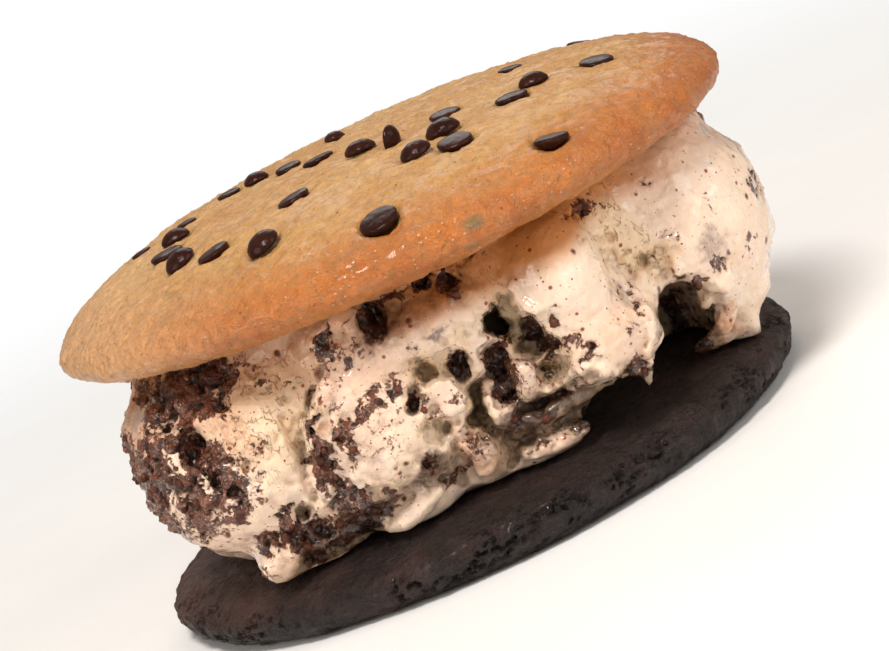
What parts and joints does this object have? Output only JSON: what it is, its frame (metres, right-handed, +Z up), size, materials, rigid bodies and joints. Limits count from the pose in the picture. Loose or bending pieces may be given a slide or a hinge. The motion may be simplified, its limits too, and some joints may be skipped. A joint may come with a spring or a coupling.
{
  "type": "ice cream sandwich",
  "caption": "Slab of cookies-and-cream ice cream between a flat dark chocolate cookie and a domed golden cookie studded with chocolate chips.",
  "frame": {"origin": "middle of the flat underside of the bottom cookie, which rests on z = 0", "axes": "+Z up through the stack of cookie, ice cream and cookie; -Y towards the side with the open folds and the small cave"},
  "size_m": [0.0959, 0.0939, 0.0511],
  "materials": {
    "chocolate_cookie": "dull baked crumb with a faint sugary gleam",
    "ice_cream": "soft cream, wet where it has begun to melt",
    "golden_cookie": "baked dough, slightly glossy round the browned rim",
    "chocolate_chip": "smooth glossy chocolate"
  },
  "bodies": {
    "root": {"bottom_cookie": "chocolate_cookie", "ice_cream": "ice_cream", "top_cookie": "golden_cookie", "chip_01": "chocolate_chip", "chip_02": "chocolate_chip", "chip_03": "chocolate_chip", "chip_04": "chocolate_chip", "chip_05": "chocolate_chip", "chip_06": "chocolate_chip", "chip_07": "chocolate_chip", "chip_08": "chocolate_chip", "chip_09": "chocolate_chip", "chip_10": "chocolate_chip", "chip_11": "chocolate_chip", "chip_12": "chocolate_chip", "chip_13": "chocolate_chip", "chip_14": "chocolate_chip", "chip_15": "chocolate_chip", "chip_16": "chocolate_chip", "chip_17": "chocolate_chip", "chip_18": "chocolate_chip", "chip_19": "chocolate_chip", "chip_20": "chocolate_chip", "chip_21": "chocolate_chip", "chip_22": "chocolate_chip", "chip_23": "chocolate_chip", "chip_24": "chocolate_chip", "chip_25": "chocolate_chip", "chip_26": "chocolate_chip", "chip_27": "chocolate_chip", "chip_28": "chocolate_chip", "chip_29": "chocolate_chip", "chip_30": "chocolate_chip", "chip_31": "chocolate_chip", "chip_32": "chocolate_chip"}
  },
  "joints": []
}
